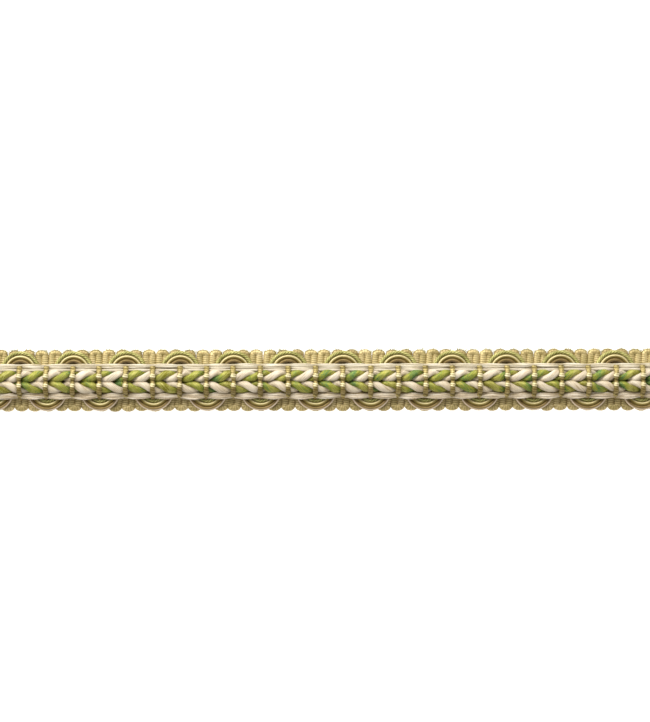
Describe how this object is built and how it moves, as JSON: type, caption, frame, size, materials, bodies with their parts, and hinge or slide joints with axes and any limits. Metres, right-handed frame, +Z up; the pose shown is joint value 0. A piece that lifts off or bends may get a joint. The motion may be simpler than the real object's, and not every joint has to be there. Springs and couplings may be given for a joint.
{
  "type": "gimp braid trim",
  "caption": "Straight cut length of flat gimp braid: looped zigzag ground, scrolls of three parallel cords, and twisted cords tied along the middle.",
  "frame": {"origin": "middle of the flat underside, halfway along the cut length", "axes": "+X along the trim, +Y across it towards the edge with the green-topped crowns, +Z up through the face"},
  "size_m": [0.1822, 0.016, 0.0055],
  "materials": {
    "ground_gold": "wound gimp yarn, old gold",
    "scroll_green": "wound gimp yarn, yellow green",
    "scroll_gold": "wound gimp yarn, pale gold",
    "scroll_rose": "wound gimp yarn, rose beige",
    "edge_cream": "smooth cream filaments",
    "twist_green": "variegated green filaments twisted with cream ones",
    "tie_gold": "wound gimp yarn, pale gold"
  },
  "bodies": {
    "root": {"ground_braid": "ground_gold", "scroll_cord_green": "scroll_green", "scroll_cord_gold": "scroll_gold", "scroll_cord_rose": "scroll_rose", "edge_cord_upper": "edge_cream", "edge_cord_lower": "edge_cream", "twist_cord_upper": "twist_green", "twist_cord_lower": "twist_green", "tie_01": "tie_gold", "tie_02": "tie_gold", "tie_03": "tie_gold", "tie_04": "tie_gold", "tie_05": "tie_gold", "tie_06": "tie_gold", "tie_07": "tie_gold", "tie_08": "tie_gold", "tie_09": "tie_gold", "tie_10": "tie_gold", "tie_11": "tie_gold", "tie_12": "tie_gold", "tie_13": "tie_gold", "tie_14": "tie_gold", "tie_15": "tie_gold", "tie_16": "tie_gold", "tie_17": "tie_gold", "tie_18": "tie_gold", "tie_19": "tie_gold", "tie_20": "tie_gold", "tie_21": "tie_gold", "tie_22": "tie_gold", "tie_23": "tie_gold", "tie_24": "tie_gold", "tie_25": "tie_gold"}
  },
  "joints": []
}
